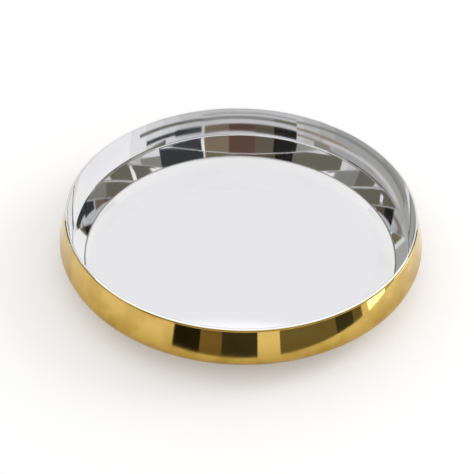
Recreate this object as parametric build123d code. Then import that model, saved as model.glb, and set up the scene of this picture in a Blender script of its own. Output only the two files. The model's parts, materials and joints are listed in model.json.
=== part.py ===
from build123d import *
import os
from math import asin, atan2, cos, degrees, hypot, radians, sin, tan

# Round double-walled plate: a steel dish inside a brass shell, joined by the dish's rolled rim and by a
# thin bond between the two floors. The plate's axis is Z and it stands on z = 0. Sizes are millimetres,
# angles are degrees. Each outline is drawn as (radius, height) on the face that shows, and the sheet's
# thickness lies on its hidden side.

# Sheets and the bond between the floors
steel_thickness = 0.6
brass_thickness = 0.5
bond_thickness = 0.7

# Inner dish, with depths measured down from the top of the rim and leans outwards from upright
rim_radius = 144.6
floor_depth = 48.3
knee_depth = 28.2
upper_corner_depth = 13.8
rim_wall_lean = 2.0
upper_wall_lean = 8.0
lower_wall_lean = 22.5
wall_straight = 0.6
knee_radius = 12.0
floor_corner_radius = 2.0

# Rolled rim, which grips the shell's edge
hem_clearance = 0.05
hem_slope = 35.0
hem_length = 0.8

# Outer shell
wall_gap = 7.6
floor_gap = 0.4
belly_radius = 9.3
underside_slope = 45.0
top_round_radius = 2.0
top_run = 0.9
base_corner_radius = 12.0
foot_height = 1.2
foot_width = 16.0
foot_bend_radius = 1.2
foot_step_slope = 45.0

# Bond disc
bond_margin = 4.0


# Heights that follow from the stack of floors
panel_height = foot_height
bond_height = panel_height + brass_thickness
floor_height = bond_height + bond_thickness + steel_thickness
rim_height = floor_height + floor_depth
knee_height = rim_height - knee_depth
upper_corner_height = rim_height - upper_corner_depth

# The rim's roll bends round the middle of the brass sheet
roll_inner_radius = brass_thickness / 2 + hem_clearance
roll_outer_radius = roll_inner_radius + steel_thickness
roll_height = rim_height - roll_outer_radius

# Corners of the dish, before they are rounded
wall_top_radius = rim_radius - roll_outer_radius * cos(radians(rim_wall_lean))
wall_top_height = roll_height + roll_outer_radius * sin(radians(rim_wall_lean))
upper_corner = wall_top_radius - (wall_top_height - upper_corner_height) * tan(radians(rim_wall_lean))
knee = upper_corner - (upper_corner_height - knee_height) * tan(radians(upper_wall_lean))
floor_corner = knee - (knee_height - floor_height) * tan(radians(lower_wall_lean))

# The upper wall's round takes all of its height but for short straight runs at the rim and over the knee
knee_reach = knee_radius * tan(radians((lower_wall_lean - upper_wall_lean) / 2))
rim_run = (wall_top_height - upper_corner_height) / cos(radians(rim_wall_lean))
knee_run = (upper_corner_height - knee_height) / cos(radians(upper_wall_lean)) - knee_reach
upper_round_reach = min(rim_run, knee_run) - wall_straight
upper_round_radius = upper_round_reach / tan(radians((upper_wall_lean - rim_wall_lean) / 2))
floor_round_reach = floor_corner_radius * tan(radians((90 - lower_wall_lean) / 2))


def round_reach(radius, lean_above, lean_below):
    """Steps across and up from the centre of a wall's round to the corner that it rounds."""
    middle = radians((lean_above - lean_below) / 2)
    reach = radius / cos(radians((lean_above + lean_below) / 2))
    return reach * cos(middle), reach * sin(middle)


# The shell's belly stands clear of the dish's wall at the rim, and its underside of the dish's floor corner
belly_widest = wall_top_radius + steel_thickness + wall_gap + brass_thickness
belly_centre = belly_widest - belly_radius
slope = radians(underside_slope)
floor_round_centre = floor_corner - floor_round_reach
floor_round_height = floor_height + floor_corner_radius
floor_round_outside = floor_corner_radius + steel_thickness + floor_gap + brass_thickness
underside_push = floor_round_centre * sin(slope) - floor_round_height * cos(slope) + floor_round_outside
belly_height = (belly_centre * sin(slope) + belly_radius - underside_push) / cos(slope)
base_corner = underside_push / sin(slope)
foot_inner = base_corner - foot_width
panel_edge = foot_inner - foot_height / tan(radians(foot_step_slope))

# The shell's top run lies under the rim's hem and bends into its side wall
hem_start = rim_radius + brass_thickness / 2 * sin(radians(hem_slope))
hem_start_height = roll_height + brass_thickness / 2 * cos(radians(hem_slope))


def side_wall_lean(corner, corner_height):
    """Lean from upright of the wall that runs from the top corner to touch the belly's round."""
    across = belly_centre - corner
    down = corner_height - belly_height
    return degrees(atan2(across, down) + asin(belly_radius / hypot(across, down)))


def top_corner(reach):
    """Point on the hem's slope, at a distance from the shell's edge."""
    along = radians(hem_slope)
    return hem_start + reach * cos(along), hem_start_height - reach * sin(along)


def top_reach():
    """Distance from the shell's edge to the corner under its top round."""
    lean = side_wall_lean(*top_corner(top_run))
    half_turn = (90 - hem_slope - lean) / 2
    return top_run + top_round_radius * tan(radians(half_turn))


def belly_corner(wall_lean):
    """Point where the side wall and the underside would meet without the belly's round."""
    across, up = round_reach(belly_radius, wall_lean, 90 - underside_slope)
    return belly_centre + across, belly_height + up


def turned_sheet(outline, thickness, hidden_side):
    """Sheet with the outline on the face that shows, turned round the plate's axis."""
    band = offset(outline, thickness, side=hidden_side)
    section = make_face(band.edges())
    return revolve(Plane.XZ * section, Axis.Z)


def inner_dish():
    """Steel dish: floor, sloping lower wall, knee, upper wall and the rim rolled over the shell's edge."""
    wall = FilletPolyline(
        (0, floor_height),
        (floor_corner, floor_height),
        (knee, knee_height),
        (upper_corner, upper_corner_height),
        (wall_top_radius, wall_top_height),
        radius=[floor_corner_radius, knee_radius, upper_round_radius],
    )
    turn = 90 - rim_wall_lean + hem_slope
    heading = (sin(radians(rim_wall_lean)), cos(radians(rim_wall_lean)))
    roll = JernArc(wall @ 1, heading, roll_outer_radius, -turn)
    hem = Line(roll @ 1, (roll @ 1) + (roll % 1) * hem_length)
    return turned_sheet(Wire([*wall.edges(), roll, hem]), steel_thickness, Side.RIGHT)


def outer_shell():
    """Brass shell: recessed base panel, foot ring, underside, belly, side wall and top run."""
    corner = top_corner(top_reach())
    outline = FilletPolyline(
        (0, panel_height),
        (panel_edge, panel_height),
        (foot_inner, 0),
        (base_corner, 0),
        belly_corner(side_wall_lean(*corner)),
        corner,
        (hem_start, hem_start_height),
        radius=[foot_bend_radius, foot_bend_radius, base_corner_radius, belly_radius, top_round_radius],
    )
    return turned_sheet(outline, brass_thickness, Side.LEFT)


def floor_bond():
    """Disc of bonding compound between the brass panel and the steel floor."""
    disc = Circle(panel_edge - bond_margin)
    return extrude(Plane.XY.offset(bond_height) * disc, bond_thickness)


os.makedirs("parts", exist_ok=True)
export_step(inner_dish(), "parts/inner_dish.step")
export_step(outer_shell(), "parts/outer_shell.step")
export_step(floor_bond(), "parts/floor_bond.step")
print("overall diameter", round(2 * belly_widest, 2), "height", round(rim_height, 2))
print("floor corner", round(floor_corner, 2), "upper wall round", round(upper_round_radius, 2))
print("belly height", round(belly_height, 3))
print("side wall lean", round(side_wall_lean(*top_corner(top_reach())), 3))
print("base corner", round(base_corner, 2), "panel edge", round(panel_edge, 2))
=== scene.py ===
"""Thali plate: a polished steel dish whose rim is rolled over the edge of a polished brass shell."""

import json
from math import atan2, ceil, cos, pi, radians, sin, tan

import bmesh
import bpy
from bpy.props import FloatProperty, FloatVectorProperty, PointerProperty
from mathutils import Matrix, Vector


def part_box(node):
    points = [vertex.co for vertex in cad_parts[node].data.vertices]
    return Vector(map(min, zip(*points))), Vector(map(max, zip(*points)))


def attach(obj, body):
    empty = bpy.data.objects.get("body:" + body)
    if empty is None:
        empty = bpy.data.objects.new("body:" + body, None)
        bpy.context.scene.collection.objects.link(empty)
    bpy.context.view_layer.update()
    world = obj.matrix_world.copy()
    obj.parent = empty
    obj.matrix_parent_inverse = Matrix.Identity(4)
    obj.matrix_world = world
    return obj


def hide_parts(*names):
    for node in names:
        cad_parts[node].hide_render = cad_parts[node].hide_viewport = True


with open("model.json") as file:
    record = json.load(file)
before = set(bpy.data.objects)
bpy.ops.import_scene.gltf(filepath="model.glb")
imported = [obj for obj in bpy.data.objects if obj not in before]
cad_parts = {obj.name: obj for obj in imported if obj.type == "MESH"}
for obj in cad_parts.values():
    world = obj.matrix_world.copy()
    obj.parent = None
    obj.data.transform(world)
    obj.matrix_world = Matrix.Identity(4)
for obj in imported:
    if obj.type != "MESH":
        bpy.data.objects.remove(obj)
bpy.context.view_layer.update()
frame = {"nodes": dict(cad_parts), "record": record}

bl_info = {
    "name": "Thali Plate",
    "version": (1, 0, 0),
    "blender": (4, 5, 0),
    "location": "View3D > Sidebar > Thali Plate",
    "description": "Dresses a double-walled thali plate in polished steel and brass and sets it in a studio",
    "category": "Add Mesh",
}

MM = 0.001
BRASS_SHEET = 0.5 * MM
BODY = "root"

# Boxes and places of the solids that the pieces are fitted to
dish_low, dish_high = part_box("inner_dish")
belly_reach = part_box("outer_shell")[1].x
bond_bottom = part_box("floor_bond")[0].z
mounts = {mount["name"]: Vector(mount["pos_m"]) for mount in frame["record"]["mounts"]}
floor_level = mounts["dish_floor"].z

# Fineness of the turned meshes
TURN_STEPS = 240
ROUND_STEP = radians(3)
ROUND_FEWEST = 8
ROLL_STEP = radians(6)
EDGE_HOLD = 0.4 * MM
DOUBLES = 0.001 * MM
SHARP_CORNER = radians(40)
RUN = "run_along_outline"


def size(name, description, metres):
    """Length property in metres."""
    return FloatProperty(
        name=name, description=description, default=metres, min=0, precision=5, unit="LENGTH"
    )


def slant(name, description, angle):
    """Angle property, with its default in degrees."""
    return FloatProperty(name=name, description=description, default=radians(angle), unit="ROTATION")


def share(name, description, value):
    """Property between none and all."""
    return FloatProperty(name=name, description=description, default=value, min=0, max=1, subtype="FACTOR")


def tint(name, description, colour):
    """Colour property."""
    return FloatVectorProperty(
        name=name, description=description, default=colour, min=0, max=1, size=3, subtype="COLOR"
    )


class DishSizes(bpy.types.PropertyGroup):
    """Sizes of the steel dish, measured on the face that shows."""

    rim_height: size("Rim height", "Top of the rolled rim above the table", dish_high.z)
    floor_height: size("Floor height", "Dish floor above the table", floor_level)
    sheet: size("Sheet", "Thickness of the steel", floor_level - dish_low.z)
    rim_radius: size("Rim radius", "Axis to the middle of the rolled rim", 144.6 * MM)
    knee_depth: size("Knee depth", "Rim down to the knee of the wall", 28.2 * MM)
    upper_corner_depth: size("Upper corner depth", "Rim down to the upper wall's round", 13.8 * MM)
    rim_wall_lean: slant("Rim wall lean", "Lean outwards of the wall at the rim", 2.0)
    upper_wall_lean: slant("Upper wall lean", "Lean outwards of the wall over the knee", 8.0)
    lower_wall_lean: slant("Lower wall lean", "Lean outwards of the wall under the knee", 22.5)
    wall_straight: size("Straight run", "Wall between the upper wall's round and its ends", 0.6 * MM)
    knee_radius: size("Knee", "Round between lower and upper wall", 12.0 * MM)
    floor_corner_radius: size("Floor corner", "Round between floor and wall", 2.0 * MM)
    brass_sheet: size("Brass sheet", "Thickness of the brass inside the roll", BRASS_SHEET)
    hem_clearance: size("Hem clearance", "Room in the roll on each side of the brass", 0.05 * MM)
    hem_slope: slant("Hem slope", "Fall of the hem outside the roll", 35.0)
    hem_length: size("Hem length", "Straight end of the hem", 0.8 * MM)


class ShellSizes(bpy.types.PropertyGroup):
    """Sizes of the brass shell, measured on the face that shows."""

    widest_radius: size("Widest radius", "Axis to the belly", belly_reach)
    sheet: size("Sheet", "Thickness of the brass", BRASS_SHEET)
    panel_height: size("Panel height", "Base panel above the table", bond_bottom - BRASS_SHEET)
    belly_height: size("Belly height", "Widest ring above the table", 24.74 * MM)
    belly_radius: size("Belly round", "Round between side wall and underside", 9.3 * MM)
    side_wall_lean: slant("Side wall lean", "Lean inwards of the side wall", 14.965)
    underside_slope: slant("Underside slope", "Rise of the underside from the foot", 45.0)
    top_round_radius: size("Top round", "Round between side wall and top run", 2.0 * MM)
    base_corner_radius: size("Base corner", "Round between foot and underside", 12.0 * MM)
    foot_width: size("Foot width", "Foot ring before its corners are rounded", 16.0 * MM)
    foot_bend_radius: size("Foot bend", "Rounds of the step from foot to panel", 1.2 * MM)
    foot_step_slope: slant("Foot step slope", "Rise of the step from foot to panel", 45.0)


class PlateFinishes(bpy.types.PropertyGroup):
    """Colours and polish of the plate."""

    steel_colour: tint("Steel", "Polished steel", (0.80, 0.80, 0.81))
    steel_shade: tint("Steel shade", "Steel where the polish has dulled", (0.70, 0.70, 0.70))
    steel_polish: share("Steel roughness", "Roughness of the polished steel", 0.03)
    floor_colour: tint("Floor", "Steel of the buffed floor", (0.80, 0.80, 0.825))
    floor_polish: share("Floor roughness", "Roughness of the buffed floor", 0.035)
    floor_radius: size("Buffed radius", "Edge of the buffed disc on the floor", 117.0 * MM)
    # Painted shade: the dark tone laid into the floor corner, where shade falls in the crease
    corner_painted_shade: tint("Corner shade", "Steel in the floor corner, missed in polishing", (0.17, 0.165, 0.15))
    brass_colour: tint("Brass", "Polished brass", (0.69, 0.47, 0.13))
    # Tone shared by the random tarnish and by the painted shade towards the foot and under the rim
    brass_tarnish_and_shade: tint("Brass shade", "Brass where it has begun to tarnish", (0.39, 0.235, 0.035))
    brass_polish: share("Brass roughness", "Roughness of the polished brass", 0.05)
    bond_colour: tint("Bond", "Bonding compound between the floors", (0.30, 0.29, 0.26))


class StudioSettings(bpy.types.PropertyGroup):
    """Camera and light of the studio."""

    lens: FloatProperty(
        name="Lens", description="Focal length on a 36 mm sensor", default=79.42, unit="CAMERA"
    )
    distance: size("Distance", "Camera to the middle of the rim's plane", 0.870)
    height_angle: slant("Height angle", "Camera above the rim's plane", 38.673)
    tilt: slant("Tilt", "Fall of the view below level", 40.464)
    swing: slant("Swing", "Turn of the view to the left", 0.275)
    roll: slant("Roll", "Turn of the camera about its view", 1.340)
    floor_colour: tint("Floor", "Studio floor", (0.86, 0.86, 0.86))
    floor_glow: tint("Floor glow", "Glow that keeps the seen floor white", (0.22, 0.22, 0.22))
    backdrop: tint("Backdrop", "White seen all round", (1.0, 1.0, 1.0))
    soft_light: tint("Soft light", "Light from all round", (0.85, 0.85, 0.85))


class Outline:
    """Outline of a turned sheet, drawn on from its last vertex through (radius, height) points."""

    def __init__(self, start):
        self.mesh = bmesh.new()
        self.run = self.mesh.verts.layers.float.new(RUN)
        self.first = self.mesh.verts.new((start[0], 0, start[1]))
        self.last = self.first

    def place(self):
        """Point that the outline has reached."""
        return Vector((self.last.co.x, self.last.co.z))

    def straight(self, end):
        """Straight run, with a vertex near each end so that the rounds beside it keep their shading."""
        start = self.place()
        end = Vector(end)
        hold = min(EDGE_HOLD / (end - start).length, 0.3)
        for part in (hold, 0.5, 1 - hold, 1):
            point = start.lerp(end, part)
            self.last = bmesh.ops.extrude_vert_indiv(self.mesh, verts=[self.last])["verts"][0]
            step = Vector((point.x, 0, point.y)) - self.last.co
            bmesh.ops.translate(self.mesh, verts=[self.last], vec=step)

    def turn(self, centre, angle, step=ROUND_STEP):
        """Round about a centre, to the left where the angle is positive."""
        swept = bmesh.ops.spin(
            self.mesh,
            geom=[self.last],
            cent=(centre.x, 0, centre.y),
            axis=(0, -1, 0),
            angle=angle,
            steps=max(ROUND_FEWEST, ceil(abs(angle) / step)),
        )
        self.last = swept["geom_last"][0]

    def corner(self, corner, after, radius):
        """Straight run to a rounded corner, and the round, which ends in the direction of the next point."""
        corner = Vector(corner)
        before = (corner - self.place()).normalized()
        onward = (Vector(after) - corner).normalized()
        angle = atan2(before.cross(onward), before.dot(onward))
        self.straight(corner - before * radius * tan(abs(angle) / 2))
        side = 1 if angle > 0 else -1
        centre = self.place() + Vector((-before.y, before.x)) * radius * side
        self.turn(centre, angle)

    def corners(self, points, radii):
        """Straight runs through the points, with each corner before the last point rounded."""
        for corner, after, radius in zip(points, points[1:], radii):
            self.corner(corner, after, radius)
        self.straight(points[-1])

    def measure(self):
        """Writes each vertex's distance along the outline to the mesh's own attribute."""
        here, behind = self.first, None
        while here is not self.last:
            edge = next(e for e in here.link_edges if e is not behind)
            ahead = edge.other_vert(here)
            ahead[self.run] = here[self.run] + edge.calc_length()
            here, behind = ahead, edge


def meet(point, heading, other, other_heading):
    """Point where two straight lines cross."""
    gap = other - point
    along = gap.cross(other_heading) / heading.cross(other_heading)
    return point + heading * along


def direction(rise):
    """Unit vector that climbs at this angle from level."""
    return Vector((cos(rise), sin(rise)))


def link(name, mesh):
    """Object at the origin with this mesh."""
    piece = bpy.data.objects.new(name, mesh)
    bpy.context.scene.collection.objects.link(piece)
    return piece


def turned_sheet(name, outline, thickness, shows_up):
    """Sheet turned round the plate's axis, with the outline on the face that shows."""
    outline.measure()
    mesh = outline.mesh
    bmesh.ops.spin(
        mesh,
        geom=[*mesh.verts, *mesh.edges],
        cent=(0, 0, 0),
        axis=(0, 0, 1),
        angle=2 * pi,
        steps=TURN_STEPS,
        use_merge=True,
    )
    bmesh.ops.remove_doubles(mesh, verts=mesh.verts, dist=DOUBLES)
    bmesh.ops.recalc_face_normals(mesh, faces=mesh.faces)
    middle = min(mesh.faces, key=lambda face: face.calc_center_median().xy.length)
    if (middle.normal.z > 0) != shows_up:
        bmesh.ops.reverse_faces(mesh, faces=mesh.faces)
    bmesh.ops.solidify(mesh, geom=mesh.faces, thickness=thickness)
    for face in mesh.faces:
        face.smooth = True
    made = bpy.data.meshes.new(name)
    mesh.to_mesh(made)
    mesh.free()
    made.set_sharp_from_angle(angle=SHARP_CORNER)
    return link(name, made)


class Wire:
    """A shader socket that takes part in sums as a number does."""

    def __init__(self, tree, socket):
        self.tree = tree
        self.socket = socket

    def maths(self, operation, first, second=0.0):
        """Math node on two numbers or sockets."""
        return self.tree.add("ShaderNodeMath", {"operation": operation}, {0: first, 1: second})

    def __add__(self, other):
        return self.maths("ADD", self, other)

    def __radd__(self, other):
        return self.maths("ADD", other, self)

    def __sub__(self, other):
        return self.maths("SUBTRACT", self, other)

    def __rsub__(self, other):
        return self.maths("SUBTRACT", other, self)

    def __mul__(self, other):
        return self.maths("MULTIPLY", self, other)

    def __rmul__(self, other):
        return self.maths("MULTIPLY", other, self)

    def __pow__(self, other):
        return self.maths("POWER", self, other)


class Tree:
    """Node tree of a finish, a stage material or the world."""

    def __init__(self, owner):
        owner.use_nodes = True
        self.owner = owner
        self.nodes = owner.node_tree.nodes
        self.links = owner.node_tree.links
        self.nodes.clear()

    def add(self, kind, settings=None, inputs=None, output=0):
        """Adds any node: its settings first, then the values or links of its sockets."""
        node = self.nodes.new(kind)
        for name, value in (settings or {}).items():
            setattr(node, name, value)
        for name, value in (inputs or {}).items():
            if isinstance(value, Wire):
                self.links.new(value.socket, node.inputs[name])
            else:
                node.inputs[name].default_value = value
        return Wire(self, node.outputs[output] if node.outputs else None)

    def place(self, *scale):
        """Object coordinates, stretched by a scale along each axis."""
        here = self.add("ShaderNodeTexCoord", output="Object")
        return self.add("ShaderNodeMapping", {}, {"Vector": here, "Scale": scale})

    def axis(self, letter):
        """One of the object coordinates."""
        here = self.add("ShaderNodeTexCoord", output="Object")
        return self.add("ShaderNodeSeparateXYZ", {}, {"Vector": here}, letter)

    def radius(self):
        """Distance from the plate's axis."""
        return (self.axis("X") ** 2 + self.axis("Y") ** 2) ** 0.5

    def run(self):
        """Distance along the piece's outline."""
        return self.add("ShaderNodeAttribute", {"attribute_name": RUN}, output="Fac")

    def noise(self, vector, scale, detail=2.0, rough=0.5):
        """Soft noise between 0 and 1."""
        inputs = {"Vector": vector, "Scale": scale, "Detail": detail, "Roughness": rough}
        return self.add("ShaderNodeTexNoise", {}, inputs, "Fac")

    def lines(self, along, pitch):
        """Noise that varies only with a distance, so that it draws lines about one pitch wide."""
        inputs = {"W": along, "Scale": 1 / pitch, "Detail": 3.0, "Roughness": 0.6}
        return self.add("ShaderNodeTexNoise", {"noise_dimensions": "1D"}, inputs, "Fac")

    def ease(self, value, start, end):
        """0 before start, 1 after end and a smooth rise between them."""
        inputs = {"Value": value, "From Min": start, "From Max": end}
        return self.add("ShaderNodeMapRange", {"interpolation_type": "SMOOTHSTEP"}, inputs)

    def mix(self, amount, first, second):
        """Mix of two colours."""
        inputs = {0: amount, 6: opaque(first), 7: opaque(second)}
        return self.add("ShaderNodeMix", {"data_type": "RGBA"}, inputs, 2)

    def relief(self, height, distance, strength=1.0):
        """Normal of a surface that a height map roughens."""
        inputs = {"Strength": strength, "Distance": distance, "Height": height}
        return self.add("ShaderNodeBump", {}, inputs)

    def finish(self, inputs):
        """Closes the tree with a surface of these sockets."""
        surface = self.add("ShaderNodeBsdfPrincipled", {}, inputs)
        self.add("ShaderNodeOutputMaterial", {}, {"Surface": surface})
        return self.owner


def opaque(colour):
    """Colour with its alpha, or a socket as it is."""
    return colour if isinstance(colour, Wire) else (*colour, 1.0)


# Pitch of the lines that polishing leaves
STEEL_HOOPS = 0.9 * MM
FLOOR_RINGS = 0.25 * MM
BRASS_HOOPS = 1.1 * MM

# Heights above the floor between which painted shade darkens its corner and clears again
CORNER_STARTS = (0.02 * MM, 0.2 * MM)
CORNER_ENDS = (0.9 * MM, 1.8 * MM)

# Heights between which the painted shade on the brass clears above the foot, and depths under the rim where
# painted shade darkens it again
FOOT_SHADE_FADES = (19.0 * MM, 44.0 * MM)
SEAM_SHADE_DEPTHS = (3.5 * MM, 1.0 * MM)


def polished_steel(look):
    """Mirror steel on the walls and rim, finely buffed in rings on the floor, with painted shade darkening
    the floor corner.
    """
    tree = Tree(bpy.data.materials.new("polished_steel"))
    radius = tree.radius()
    height = tree.axis("Z")
    on_floor = 1 - tree.ease(height, floor_level + 0.05 * MM, floor_level + 0.3 * MM)
    edge = tree.ease(radius, look.floor_radius - 1.5 * MM, look.floor_radius + 1.5 * MM)
    buffed = on_floor * (1 - edge)
    hoops = tree.lines(tree.run(), STEEL_HOOPS)
    rings = tree.lines(radius, FLOOR_RINGS)
    dull = tree.ease(tree.noise(tree.place(1, 1, 2), 14.0, 4.0), 0.45, 0.75)
    steel = tree.mix(dull * 0.35, look.steel_colour, look.steel_shade)
    # Painted shade: a thin band in the floor corner is darkened, standing in for the shade in the crease;
    # the same band is also rougher
    shade_begins = tree.ease(height, *[floor_level + step for step in CORNER_STARTS])
    shade_fades = tree.ease(height, *[floor_level + step for step in CORNER_ENDS])
    corner = shade_begins * (1 - shade_fades)
    clean = tree.mix(buffed, steel, look.floor_colour)
    colour = tree.mix(corner * 0.4, clean, look.corner_painted_shade)
    mirror_rough = look.steel_polish + dull * 0.03 + (hoops - 0.5) * 0.02 + corner * 0.2
    floor_rough = look.floor_polish + (rings - 0.5) * 0.06
    rough = mirror_rough * (1 - buffed) + floor_rough * buffed
    waves = tree.noise(tree.place(1, 1, 1.6), 28.0, 1.0)
    scratches = hoops * (1 - buffed) * 0.0006 + rings * buffed * 0.0012
    normal = tree.relief(waves * (1 - on_floor * 0.8) * 0.02 + scratches, MM)
    return tree.finish({"Base Color": colour, "Metallic": 1.0, "Roughness": rough, "Normal": normal})


def polished_brass(look):
    """Mirror brass with random tarnish, a little rougher at the foot and under the rim, where painted shade
    also darkens and warms it.
    """
    tree = Tree(bpy.data.materials.new("polished_brass"))
    height = tree.axis("Z")
    hoops = tree.lines(tree.run(), BRASS_HOOPS)
    cloud = tree.noise(tree.place(1, 1, 1), 46.0, 5.0)
    # Painted shade: the brass is darkened and warmed towards the foot, standing in for the shaded floor that
    # it mirrors
    foot = 1 - tree.ease(height, *FOOT_SHADE_FADES)
    # Painted shade: the brass just under the rolled rim is darkened, where shade falls under the hem
    seam_shade = tree.ease(height, *[dish_high.z - depth for depth in SEAM_SHADE_DEPTHS])
    # Random tarnish mottling from the cloud noise, plus the two painted shades
    tarnish_and_shade = tree.ease(cloud, 0.42, 0.62) * 0.30 + foot * 0.72 + seam_shade * 0.45
    colour = tree.mix(tarnish_and_shade, look.brass_colour, look.brass_tarnish_and_shade)
    rough = look.brass_polish + tarnish_and_shade * 0.06 + (hoops - 0.5) * 0.03
    waves = tree.noise(tree.place(1, 1, 0.6), 34.0, 1.0)
    normal = tree.relief(waves * 0.03 + hoops * 0.0008, MM)
    return tree.finish({"Base Color": colour, "Metallic": 1.0, "Roughness": rough, "Normal": normal})


def bonding_compound(look):
    """Dull compound with trowelled unevenness."""
    tree = Tree(bpy.data.materials.new("bonding_compound"))
    grain = tree.noise(tree.place(1, 1, 1), 180.0, 6.0)
    colour = tree.mix(grain, look.bond_colour, [part * 0.7 for part in look.bond_colour])
    normal = tree.relief(grain, 0.2 * MM, 0.5)
    return tree.finish({"Base Color": colour, "Roughness": 0.75 + grain * 0.2, "Normal": normal})


def card_finish(name, colour):
    """Even glow of a studio card."""
    tree = Tree(bpy.data.materials.new(name))
    glow = tree.add("ShaderNodeEmission", {}, {"Color": (*colour, 1.0), "Strength": 1.0})
    tree.add("ShaderNodeOutputMaterial", {}, {"Surface": glow})
    tree.owner.cycles.emission_sampling = "NONE"
    return tree.owner


def rim_roll(dish):
    """Centre and outer radius of the roll that grips the shell's edge."""
    radius = dish.brass_sheet / 2 + dish.hem_clearance + dish.sheet
    return Vector((dish.rim_radius, dish.rim_height - radius)), radius


class THALI_OT_steel_dish(bpy.types.Operator):
    """Turn the steel dish: floor, lower wall, knee, upper wall and rolled rim"""

    bl_idname = "thali.steel_dish"
    bl_label = "Steel dish"
    bl_options = {"REGISTER", "UNDO"}

    def execute(self, context):
        dish = context.scene.thali_dish
        roll_centre, roll_radius = rim_roll(dish)
        wall_top = roll_centre - direction(-dish.rim_wall_lean) * roll_radius
        rim_run = (wall_top.y - dish.rim_height + dish.upper_corner_depth) / cos(dish.rim_wall_lean)
        upper_corner = wall_top - direction(pi / 2 - dish.rim_wall_lean) * rim_run
        knee_run = (dish.knee_depth - dish.upper_corner_depth) / cos(dish.upper_wall_lean)
        knee = upper_corner - direction(pi / 2 - dish.upper_wall_lean) * knee_run
        floor_corner = knee.x - (knee.y - dish.floor_height) * tan(dish.lower_wall_lean)
        knee_reach = dish.knee_radius * tan((dish.lower_wall_lean - dish.upper_wall_lean) / 2)
        upper_reach = min(rim_run, knee_run - knee_reach) - dish.wall_straight
        upper_round = upper_reach / tan((dish.upper_wall_lean - dish.rim_wall_lean) / 2)
        outline = Outline((0, dish.floor_height))
        outline.corners(
            [(floor_corner, dish.floor_height), knee, upper_corner, wall_top],
            [dish.floor_corner_radius, dish.knee_radius, upper_round],
        )
        outline.turn(roll_centre, -(pi / 2 - dish.rim_wall_lean + dish.hem_slope), ROLL_STEP)
        outline.straight(outline.place() + direction(-dish.hem_slope) * dish.hem_length)
        piece = turned_sheet("steel_dish", outline, dish.sheet, shows_up=True)
        piece.data.materials.append(polished_steel(context.scene.thali_finishes))
        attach(piece, BODY)
        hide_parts("inner_dish")
        return {"FINISHED"}


class THALI_OT_brass_shell(bpy.types.Operator):
    """Turn the brass shell: base panel, foot ring, underside, belly and side wall"""

    bl_idname = "thali.brass_shell"
    bl_label = "Brass shell"
    bl_options = {"REGISTER", "UNDO"}

    def execute(self, context):
        shell = context.scene.thali_shell
        dish = context.scene.thali_dish
        belly_centre = Vector((shell.widest_radius - shell.belly_radius, shell.belly_height))
        wall_touch = belly_centre + direction(shell.side_wall_lean) * shell.belly_radius
        wall_heading = direction(pi / 2 + shell.side_wall_lean)
        under_touch = belly_centre + direction(shell.underside_slope - pi / 2) * shell.belly_radius
        under_heading = direction(shell.underside_slope)
        belly_corner = meet(under_touch, under_heading, wall_touch, wall_heading)
        base = meet(under_touch, under_heading, Vector((0, 0)), Vector((1, 0)))
        roll_centre, _ = rim_roll(dish)
        edge = roll_centre + direction(pi / 2 - dish.hem_slope) * shell.sheet / 2
        top_corner = meet(edge, direction(-dish.hem_slope), wall_touch, wall_heading)
        foot_inner = Vector((base.x - shell.foot_width, 0))
        panel_edge = (foot_inner.x - shell.panel_height / tan(shell.foot_step_slope), shell.panel_height)
        outline = Outline((0, shell.panel_height))
        outline.corners(
            [panel_edge, foot_inner, base, belly_corner, top_corner, edge],
            [
                shell.foot_bend_radius,
                shell.foot_bend_radius,
                shell.base_corner_radius,
                shell.belly_radius,
                shell.top_round_radius,
            ],
        )
        piece = turned_sheet("brass_shell", outline, shell.sheet, shows_up=False)
        piece.data.materials.append(polished_brass(context.scene.thali_finishes))
        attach(piece, BODY)
        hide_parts("outer_shell")
        return {"FINISHED"}


class THALI_OT_floor_bond(bpy.types.Operator):
    """Give the disc between the two floors its dull finish"""

    bl_idname = "thali.floor_bond"
    bl_label = "Floor bond"
    bl_options = {"REGISTER", "UNDO"}

    def execute(self, context):
        disc = frame["nodes"]["floor_bond"]
        disc.data.materials.clear()
        disc.data.materials.append(bonding_compound(context.scene.thali_finishes))
        return {"FINISHED"}


# Tones of the cards round the plate, which only its polished metal sees
TONES = {
    "black": (0.020, 0.020, 0.018),
    "slate": (0.055, 0.060, 0.060),
    "brown": (0.130, 0.075, 0.060),
    "umber": (0.140, 0.115, 0.085),
    "tan": (0.230, 0.185, 0.130),
    "olive": (0.200, 0.190, 0.150),
    "grey": (0.330, 0.330, 0.300),
    "sand": (0.400, 0.330, 0.230),
    "silver": (0.520, 0.520, 0.500),
    "smoke": (0.600, 0.600, 0.580),
    "ash": (0.700, 0.700, 0.680),
    "pale": (0.800, 0.800, 0.790),
    "pearl": (0.900, 0.900, 0.890),
    "mist": (1.000, 1.000, 0.990),
    "cloud": (1.120, 1.120, 1.110),
    "sky": (1.250, 1.250, 1.235),
    "glare": (4.000, 4.000, 3.900),
}

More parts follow.
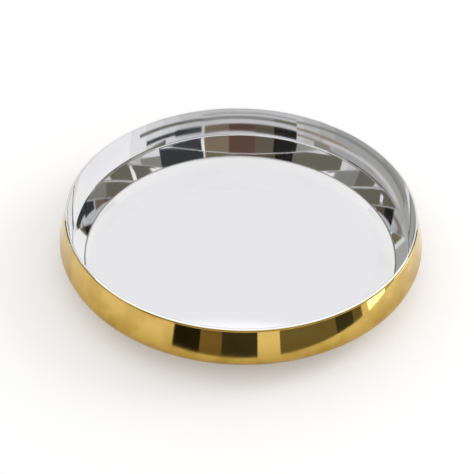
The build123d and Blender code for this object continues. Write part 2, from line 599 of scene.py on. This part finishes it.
# Bearings, in degrees to the right of the camera's side of the plate, between which each card stands, the
# heights in metres of its lower and upper edges at the first bearing, and their climb to the second
ROOM_CARDS = (
    (-165, 165, 1.10, 6.00, 0, "sky"),
    (-165, -66, 0.62, 1.12, 0, "silver"),
    (-66, -54, 0.50, 1.12, 0, "smoke"),
    (-54, -42, 0.42, 1.12, 0, "ash"),
    (-42, 46, 0.42, 1.10, 0, "pale"),
    (46, 58, 0.42, 1.12, 0, "pearl"),
    (58, 71, 0.42, 1.12, 0, "mist"),
    (71, 84, 0.42, 1.12, 0, "cloud"),
    (84, 165, 0.42, 1.12, 0, "sky"),
    (-54, -37, 0.15, 0.40, 0, "grey"),
    (-37, -21, 0.15, 0.40, 0, "black"),
    (-21, -8, 0.15, 0.40, 0, "umber"),
    (-8, 10, 0.15, 0.40, 0, "brown"),
    (10, 27, 0.15, 0.40, 0, "tan"),
    (29, 55, 0.15, 0.40, 0, "slate"),
    (-37, -21, 0.590, 0.710, 0, "black"),
    (-21, -8, 0.590, 0.710, 0, "umber"),
    (-8, 10, 0.597, 0.706, 0, "brown"),
    (10, 27, 0.600, 0.708, 0, "tan"),
    (29, 48, 0.620, 0.712, 0.03, "slate"),
    (48, 70, 0.675, 0.730, 0.03, "slate"),
    (-37, -21, 0.775, 0.830, 0, "olive"),
    (-21, 29, 0.775, 0.830, 0, "grey"),
    (29, 76, 0.788, 0.835, 0.065, "olive"),
    (-37, 29, 0.868, 0.885, 0, "grey"),
    (-100, -37, 0.790, 0.830, -0.06, "sand"),
    (-62, -37, 0.665, 0.695, -0.02, "sand"),
    (-145, -37, 1.020, 1.055, -0.19, "grey"),
    (-155, -56, 0.960, 1.000, -0.27, "pale"),
    (-150, -112, 1.070, 1.085, -0.07, "grey"),
    (-112, -76, 0.37, 0.66, 0, "slate"),
    (-76, -50, 0.46, 0.66, 0, "grey"),
    (-131, -112, 0.34, 0.60, 0, "slate"),
    (-172, -133, 0.30, 0.56, 0, "tan"),
    (170, 188, 0.30, 0.56, 0, "brown"),
    (140, 170, 0.30, 0.56, 0, "umber"),
    (118, 140, 0.34, 0.60, 0, "black"),
    (55, 118, 0.38, 0.66, 0, "olive"),
    (-62, 20, 0.97, 1.55, 0, "olive"),
    (20, 66, 0.97, 1.55, 0, "grey"),
    (-29, -24, 1.235, 1.325, 0, "sky"),
    (135, 225, 1.10, 1.52, 0, "mist"),
)

# Bearings of the low cards close to the plate, which the side of the shell mirrors
LOW_CARDS = (
    (-24.6, -14.2, "black"),
    (-14.2, -6.0, "tan"),
    (-6.0, 7.2, "slate"),
    (15.6, 38.6, "olive"),
    (38.6, 46.7, "slate"),
    (46.7, 51.4, "olive"),
    (55.0, 66.0, "glare"),
    (66.0, 73.0, "olive"),
    (73.0, 92.0, "glare"),
)
LOW_RADIUS = 0.222
LOW_HEIGHTS = (0.0065, 0.032)

# Each room card stands one gap inside the card before it, so that it covers that card
ROOM_RADIUS = 1.6
CARD_GAP = 0.001
CARD_STEP = radians(2)

# Middle, radius, height and tone of the level cards overhead
OVERHEAD_CARDS = {
    "ceiling": ((0, 0), 1.6, 1.7, "sky"),
    "zenith": ((0, 0.25), 0.33, 1.6, "mist"),
}
OVERHEAD_SIDES = 96

FLOOR_REACH = 6.0
WINDOW_SIDE = 0.7
WINDOW_POWER = 5.0
WINDOW_PLACE = (1.3, 0.4, 1.0)
WINDOW_TARGET = (0, 0, 0.03)
SENSOR_WIDTH = 36.0


def stand(name, mesh):
    """Stage object made from a bmesh."""
    made = bpy.data.meshes.new(name)
    mesh.to_mesh(made)
    mesh.free()
    piece = link(name, made)
    return piece


def stand_card(name, mesh, finish):
    """Stage card that only polished surfaces see."""
    card = stand(name, mesh)
    card.data.materials.append(finish)
    card.visible_camera = False
    card.visible_diffuse = False
    card.visible_shadow = False


def upright_card(name, start, end, radius, low, high, climb, finish):
    """Upright card on a circle round the plate, between two bearings and two heights."""
    mesh = bmesh.new()
    turn = radians(start - 90)
    foot = mesh.verts.new((radius * cos(turn), radius * sin(turn), low))
    top = mesh.verts.new((radius * cos(turn), radius * sin(turn), high))
    side = mesh.edges.new((foot, top))
    angle = radians(end - start)
    steps = ceil(angle / CARD_STEP)
    bmesh.ops.spin(
        mesh,
        geom=[foot, top, side],
        cent=(0, 0, 0),
        axis=(0, 0, 1),
        dvec=(0, 0, climb / steps),
        angle=angle,
        steps=steps,
    )
    stand_card(name, mesh, finish)


def overhead_card(name, middle, radius, height, finish):
    """Round level card over the plate."""
    mesh = bmesh.new()
    bmesh.ops.create_circle(mesh, cap_ends=True, segments=OVERHEAD_SIDES, radius=radius)
    bmesh.ops.translate(mesh, verts=mesh.verts, vec=(*middle, height))
    stand_card(name, mesh, finish)


def studio_floor(studio):
    """Wide pale floor that keeps the plate's shadow."""
    mesh = bmesh.new()
    bmesh.ops.create_grid(mesh, x_segments=1, y_segments=1, size=FLOOR_REACH)
    floor = stand("studio_floor", mesh)
    tree = Tree(bpy.data.materials.new("studio_floor"))
    inputs = {
        "Base Color": opaque(studio.floor_colour),
        "Roughness": 1.0,
        "Specular IOR Level": 0.0,
        "Emission Color": tree.mix(light_path(tree), (0, 0, 0), studio.floor_glow),
        "Emission Strength": 1.0,
    }
    floor.data.materials.append(tree.finish(inputs))


def light_path(tree):
    """1 for rays from the camera and for those that polished or clear surfaces send on."""
    path = tree.add("ShaderNodeLightPath")
    outputs = path.socket.node.outputs
    rays = [Wire(tree, outputs[name]) for name in ("Is Camera Ray", "Is Glossy Ray", "Is Transmission Ray")]
    total = rays[0] + rays[1] + rays[2]
    return tree.ease(total, 0.0, 1.0)


def studio_world(studio):
    """White all round, and a little less of it as light."""
    tree = Tree(bpy.data.worlds.new("studio"))
    colour = tree.mix(light_path(tree), studio.soft_light, studio.backdrop)
    light = tree.add("ShaderNodeBackground", {}, {"Color": colour, "Strength": 1.0})
    tree.add("ShaderNodeOutputWorld", {}, {"Surface": light})
    bpy.context.scene.world = tree.owner


def key_light():
    """Soft window light from the right."""
    lamp = bpy.data.lights.new("window", "AREA")
    lamp.shape = "RECTANGLE"
    lamp.size = WINDOW_SIDE
    lamp.size_y = WINDOW_SIDE
    lamp.energy = WINDOW_POWER
    window = bpy.data.objects.new("window", lamp)
    window.location = WINDOW_PLACE
    aim = Vector(WINDOW_TARGET) - window.location
    window.rotation_euler = aim.to_track_quat("-Z", "Y").to_euler()
    window.visible_camera = False
    window.visible_glossy = False
    bpy.context.scene.collection.objects.link(window)


def studio_camera(studio):
    """Camera at the photograph's viewing angle."""
    lens = bpy.data.cameras.new("studio_camera")
    lens.lens = studio.lens
    lens.sensor_width = SENSOR_WIDTH
    camera = bpy.data.objects.new("studio_camera", lens)
    back = -studio.distance * cos(studio.height_angle)
    camera.location = (0, back, dish_high.z + studio.distance * sin(studio.height_angle))
    turn = Matrix.Rotation(studio.swing, 3, "Z")
    turn = turn @ Matrix.Rotation(pi / 2 - studio.tilt, 3, "X") @ Matrix.Rotation(studio.roll, 3, "Z")
    camera.rotation_euler = turn.to_euler()
    bpy.context.scene.collection.objects.link(camera)
    bpy.context.scene.camera = camera


class THALI_OT_studio(bpy.types.Operator):
    """Set the camera, the floor, the light and the cards that the metal reflects"""

    bl_idname = "thali.studio"
    bl_label = "Studio"
    bl_options = {"REGISTER", "UNDO"}

    def execute(self, context):
        studio = context.scene.thali_studio
        studio_camera(studio)
        studio_floor(studio)
        studio_world(studio)
        key_light()
        finishes = {tone: card_finish("card_" + tone, colour) for tone, colour in TONES.items()}
        for number, (start, end, low, high, climb, tone) in enumerate(ROOM_CARDS):
            radius = ROOM_RADIUS - number * CARD_GAP
            upright_card(f"room_card_{number}", start, end, radius, low, high, climb, finishes[tone])
        for number, (start, end, tone) in enumerate(LOW_CARDS):
            upright_card(f"low_card_{number}", start, end, LOW_RADIUS, *LOW_HEIGHTS, 0, finishes[tone])
        for name, (middle, radius, height, tone) in OVERHEAD_CARDS.items():
            overhead_card(name, middle, radius, height, finishes[tone])
        context.scene.view_settings.view_transform = "Standard"
        return {"FINISHED"}


class THALI_PT_panel(bpy.types.Panel):
    """Sidebar panel that lists the plate's pieces and its studio"""

    bl_idname = "THALI_PT_panel"
    bl_label = "Thali plate"
    bl_space_type = "VIEW_3D"
    bl_region_type = "UI"
    bl_category = "Thali Plate"

    def draw(self, context):
        for operator in OPERATORS:
            self.layout.operator(operator.bl_idname)


OPERATORS = (THALI_OT_studio, THALI_OT_steel_dish, THALI_OT_brass_shell, THALI_OT_floor_bond)
GROUPS = {
    "thali_dish": DishSizes,
    "thali_shell": ShellSizes,
    "thali_finishes": PlateFinishes,
    "thali_studio": StudioSettings,
}


def register():
    """Registers the classes and hangs their settings on the scene."""
    for group in (*GROUPS.values(), *OPERATORS, THALI_PT_panel):
        bpy.utils.register_class(group)
    for name, group in GROUPS.items():
        setattr(bpy.types.Scene, name, PointerProperty(type=group))


def unregister():
    """Takes back what register did."""
    for name in GROUPS:
        delattr(bpy.types.Scene, name)
    for group in reversed((*GROUPS.values(), *OPERATORS, THALI_PT_panel)):
        bpy.utils.unregister_class(group)


def main():
    """Registers the classes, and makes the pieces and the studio."""
    register()
    bpy.ops.thali.studio()
    bpy.ops.thali.steel_dish()
    bpy.ops.thali.brass_shell()
    bpy.ops.thali.floor_bond()


if __name__ == "__main__":
    main()
